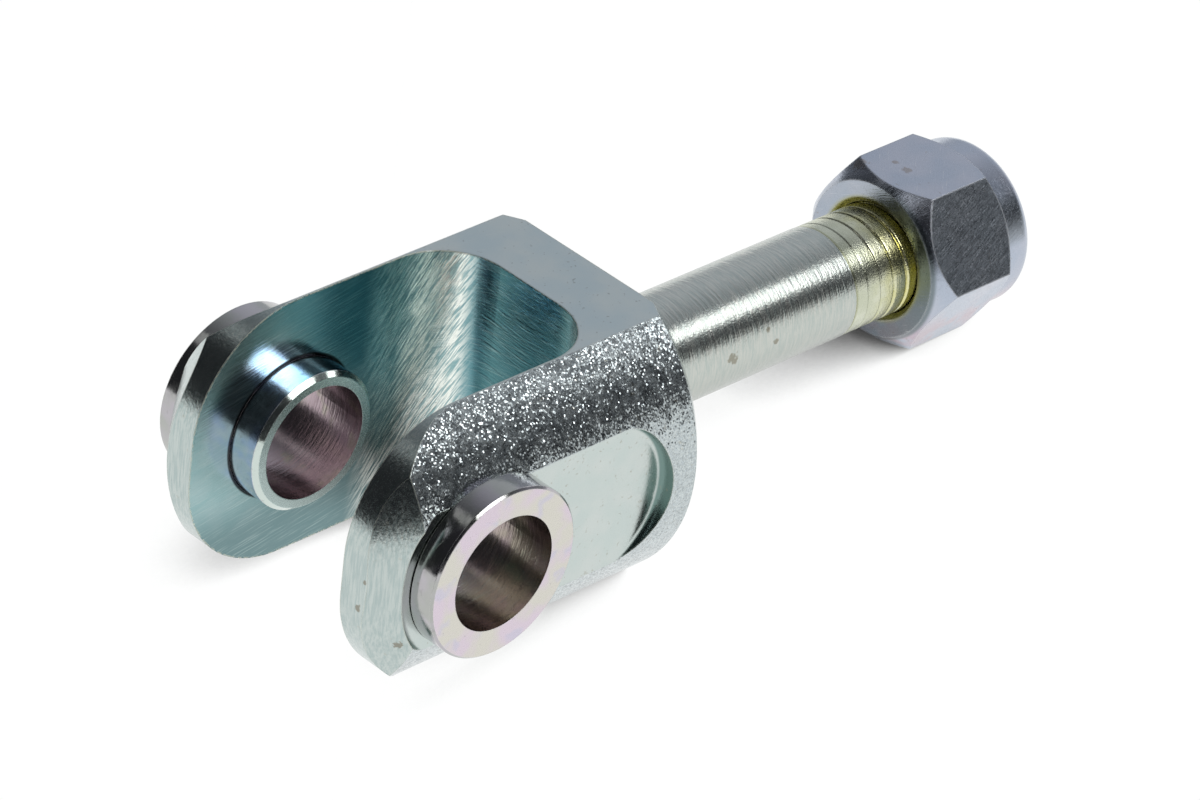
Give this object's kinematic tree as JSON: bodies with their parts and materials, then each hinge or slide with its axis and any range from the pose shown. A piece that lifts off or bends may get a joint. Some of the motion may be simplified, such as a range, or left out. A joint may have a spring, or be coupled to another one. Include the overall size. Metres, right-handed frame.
{
  "type": "clevis rod end",
  "caption": "Forked clevis rod end with two flanged bushings across the fork and a threaded shank carrying a nylon-insert lock nut.",
  "frame": {"origin": "on the pin axis, midway between the two arms of the fork", "axes": "+X along the shank, away from the fork; +Y along the pin axis; +Z square to the fork's two flats"},
  "size_m": [0.1009, 0.0406, 0.0304],
  "materials": {
    "body_steel": "clear zinc plate over turned and milled steel",
    "bushing_steel": "zinc plate with a faint pink and yellow cast",
    "nut_steel": "zinc plate, worn and scratched on the flats",
    "nylon": "natural nylon"
  },
  "bodies": {
    "clevis": {"clevis_body": "body_steel"},
    "near_bushing": {"near_bushing": "bushing_steel"},
    "far_bushing": {"far_bushing": "bushing_steel"},
    "insert": {"nylon_insert": "nylon"},
    "nut": {"lock_nut": "nut_steel"}
  },
  "joints": [
    {"name": "near_bushing_turn", "type": "hinge", "parent": "clevis", "child": "near_bushing", "pos_m": [0, 0, 0], "axis": [0, 1, 0], "continuous": true},
    {"name": "far_bushing_turn", "type": "hinge", "parent": "clevis", "child": "far_bushing", "pos_m": [0, 0, 0], "axis": [0, 1, 0], "continuous": true},
    {"name": "nut_travel", "type": "slide", "parent": "clevis", "child": "insert", "axis": [1, 0, 0], "range_m": [-0.0072, 0.0117]},
    {"name": "nut_turn", "type": "hinge", "parent": "insert", "child": "nut", "pos_m": [0.0724, 0, 0], "axis": [1, 0, 0], "range_deg": [-1320, 2140]}
  ],
  "couplings": [
    {"joint": "nut_travel", "follows": "nut_turn", "m_per_rad": 0.00031096}
  ]
}
